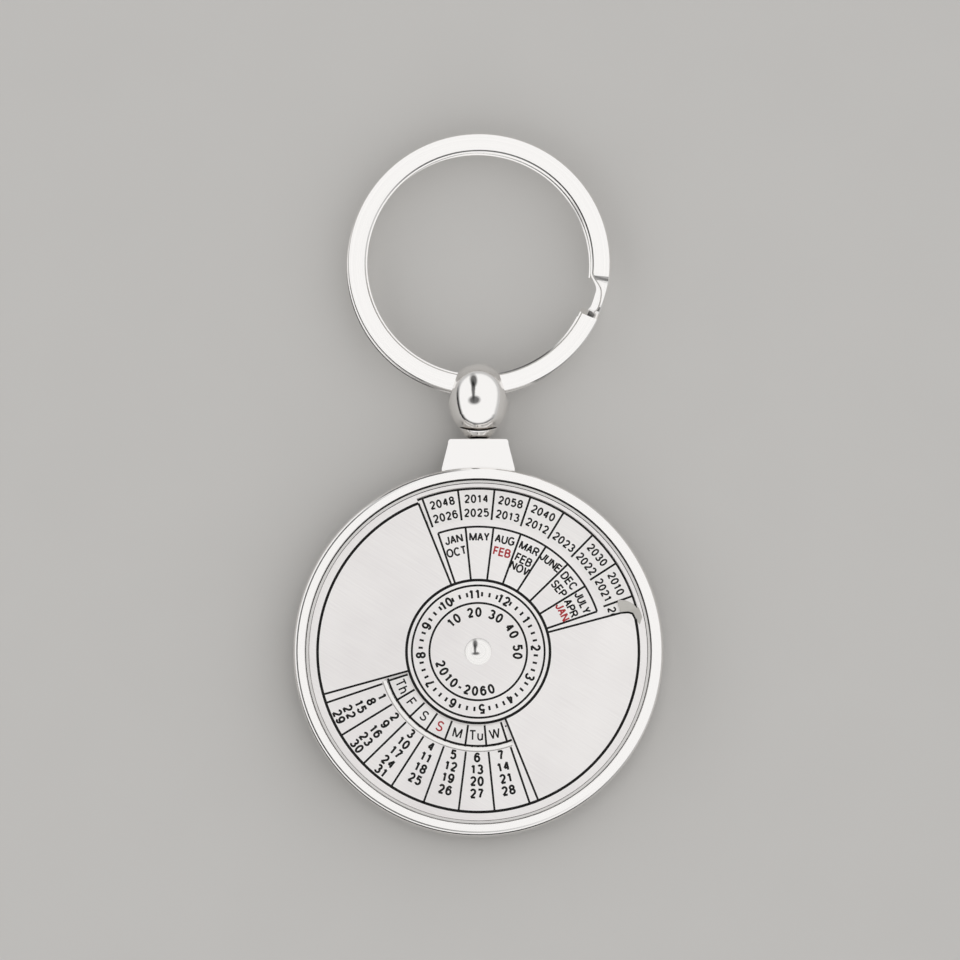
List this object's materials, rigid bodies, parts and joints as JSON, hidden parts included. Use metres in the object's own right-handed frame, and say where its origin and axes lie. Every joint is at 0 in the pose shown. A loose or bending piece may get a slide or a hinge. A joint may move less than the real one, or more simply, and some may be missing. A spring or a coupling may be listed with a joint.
{
  "type": "perpetual calendar keyring",
  "caption": "Round metal keyring: a windowed calendar dial turns over a fixed year plate, and a split ring hangs from a swivelling bead.",
  "frame": {"origin": "middle of the case's flat back", "axes": "+Z out of the dial's face, +Y from the case towards the split ring, +X to the right as the dial is read"},
  "size_m": [0.042, 0.0806, 0.007],
  "materials": {
    "case": "polished chrome plate on cast zinc",
    "film": "clear adhesive film",
    "plate": "satin sheet with printed years and weekdays",
    "washer": "plain spring steel",
    "dial": "fine brushed sheet with printed months and dates",
    "rivet": "turned and polished",
    "pin": "plain steel",
    "cup": "polished chrome plate",
    "bead": "polished chrome plate",
    "ring": "nickel plated spring steel"
  },
  "bodies": {
    "case": {"case_body": "case", "plate_film": "film", "year_plate": "plate", "spring_washer": "washer", "centre_rivet": "rivet"},
    "dial": {"calendar_dial": "dial"},
    "swivel": {"swivel_pin": "pin", "swivel_cup": "cup", "swivel_bead": "bead"},
    "ring": {"split_ring": "ring"}
  },
  "joints": [
    {"name": "dial_turn", "type": "hinge", "parent": "case", "child": "dial", "pos_m": [0, 0, 0.00385], "axis": [0, 0, 1], "continuous": true},
    {"name": "bead_swivel", "type": "hinge", "parent": "case", "child": "swivel", "pos_m": [0, 0.0244, 0.0019], "axis": [0, 1, 0], "continuous": true},
    {"name": "ring_swing", "type": "hinge", "parent": "swivel", "child": "ring", "pos_m": [0, 0.03065, 0.0019], "axis": [1, 0, 0], "range_deg": [-130, 130]}
  ]
}
